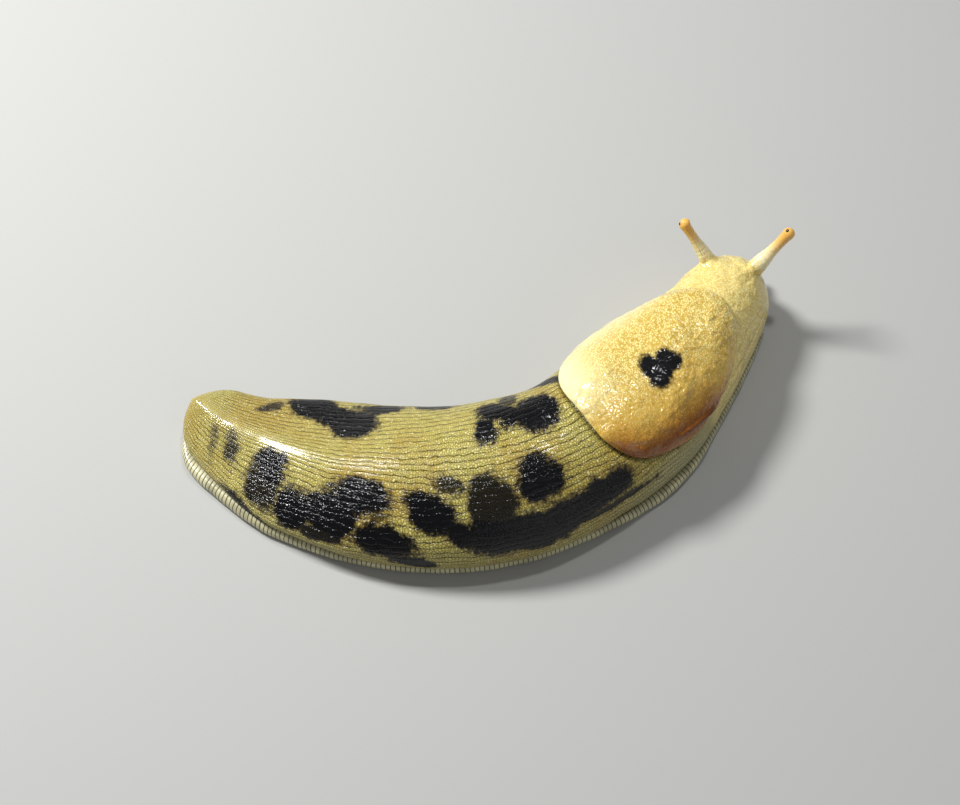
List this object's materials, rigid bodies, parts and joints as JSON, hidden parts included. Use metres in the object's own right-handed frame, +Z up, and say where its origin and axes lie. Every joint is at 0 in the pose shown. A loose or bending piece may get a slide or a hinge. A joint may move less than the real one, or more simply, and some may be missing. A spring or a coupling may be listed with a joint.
{
  "type": "banana slug model",
  "caption": "Life-size still model of a banana slug crawling in a left-hand curve on a flat sole, tentacles raised.",
  "frame": {"origin": "on the floor under the middle of the whole animal's bounding box", "axes": "+Z up; +X along the longest extent, towards the head end; the tail end is at -X and the body bends towards +Y"},
  "size_m": [0.1226, 0.0705, 0.025],
  "materials": {
    "back_skin": "wet, furrowed, with black blotches",
    "mantle_skin": "wet, finely granular",
    "sole_skin": "wet, finely ribbed at the edge",
    "stalk_skin": "wet, slightly translucent",
    "eye_black": "glossy"
  },
  "bodies": {
    "root": {"tail": "back_skin", "back_rear": "back_skin", "back_middle": "back_skin", "back_front": "back_skin", "neck": "back_skin", "head": "back_skin", "mantle": "mantle_skin", "foot_tail": "sole_skin", "foot_rear": "sole_skin", "foot_middle": "sole_skin", "foot_front": "sole_skin", "foot_neck": "sole_skin", "tentacle_left": "stalk_skin", "tentacle_right": "stalk_skin", "feeler_left": "stalk_skin", "feeler_right": "stalk_skin", "eye_left": "eye_black", "eye_right": "eye_black"}
  },
  "joints": []
}
